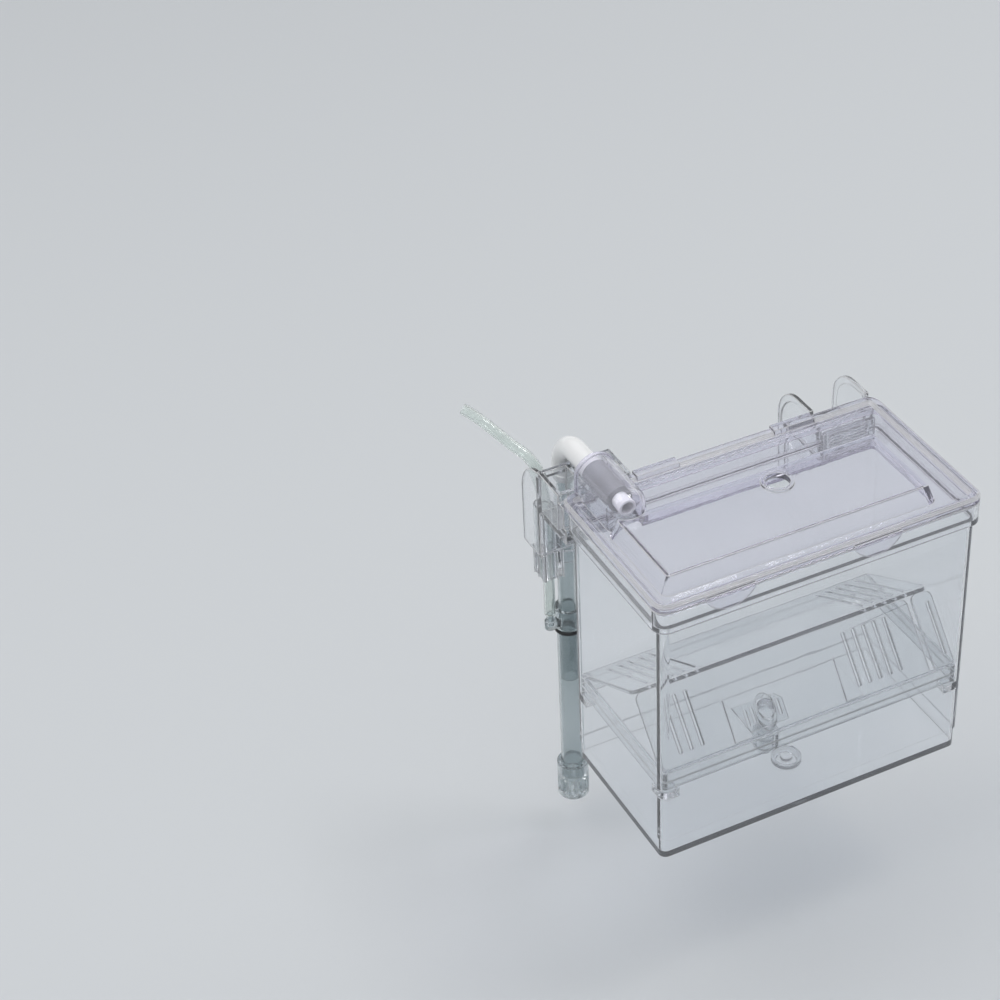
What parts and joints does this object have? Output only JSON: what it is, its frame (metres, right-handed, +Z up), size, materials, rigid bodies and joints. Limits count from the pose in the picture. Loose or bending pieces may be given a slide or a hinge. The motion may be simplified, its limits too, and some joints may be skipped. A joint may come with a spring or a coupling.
{
  "type": "fish breeding box",
  "caption": "Clear hang-on breeding box with a raised lid, a sloping slotted tray, an air-driven riser with a white elbow, and an open return spout.",
  "frame": {"origin": "middle of the left rim seat, the underside of the bridge over the aquarium's rim", "axes": "+X along the tank towards the return spout, +Y back towards the aquarium, +Z up"},
  "size_m": [0.1635, 0.1427, 0.2039],
  "materials": {
    "clear": "polished",
    "smoke": "polished",
    "white": "satin",
    "black": "matt",
    "airline": "soft"
  },
  "bodies": {
    "box": {"tank": "clear", "intake_hook": "clear", "return_hook": "clear", "airline_guide": "clear", "tube_clip": "clear", "riser_tube": "smoke", "air_inlet": "smoke", "seal_ring": "black", "airline": "airline", "elbow": "white"},
    "lid": {"lid": "clear"},
    "nozzle": {"flow_nozzle": "smoke"},
    "intake": {"lower_tube": "smoke", "intake_strainer": "smoke"},
    "tray": {"tray_frame": "clear", "front_slope": "clear", "end_slope": "clear", "rear_slope": "clear"},
    "gate": {"gate_panel": "clear", "gate_peg": "clear"},
    "grille": {"outlet_grille": "clear"},
    "plug": {"drain_plug": "clear"}
  },
  "joints": [
    {"name": "lid_lift", "type": "slide", "parent": "box", "child": "lid", "axis": [0, 0, 1], "range_m": [0, 0.03]},
    {"name": "nozzle_turn", "type": "hinge", "parent": "box", "child": "nozzle", "pos_m": [-0.0005, -0.0175, 0.028], "axis": [0, 1, 0], "continuous": true},
    {"name": "intake_reach", "type": "slide", "parent": "box", "child": "intake", "axis": [0, 0, -1], "range_m": [0, 0.018]},
    {"name": "tray_lift", "type": "slide", "parent": "box", "child": "tray", "axis": [0, 0, 1], "range_m": [0, 0.045]},
    {"name": "gate_lift", "type": "slide", "parent": "tray", "child": "gate", "axis": [0, 0, 1], "range_m": [0, 0.006]},
    {"name": "grille_out", "type": "slide", "parent": "box", "child": "grille", "axis": [0, -1, 0], "range_m": [0, 0.012]},
    {"name": "plug_lift", "type": "slide", "parent": "box", "child": "plug", "axis": [0, 0, 1], "range_m": [0, 0.02]}
  ]
}
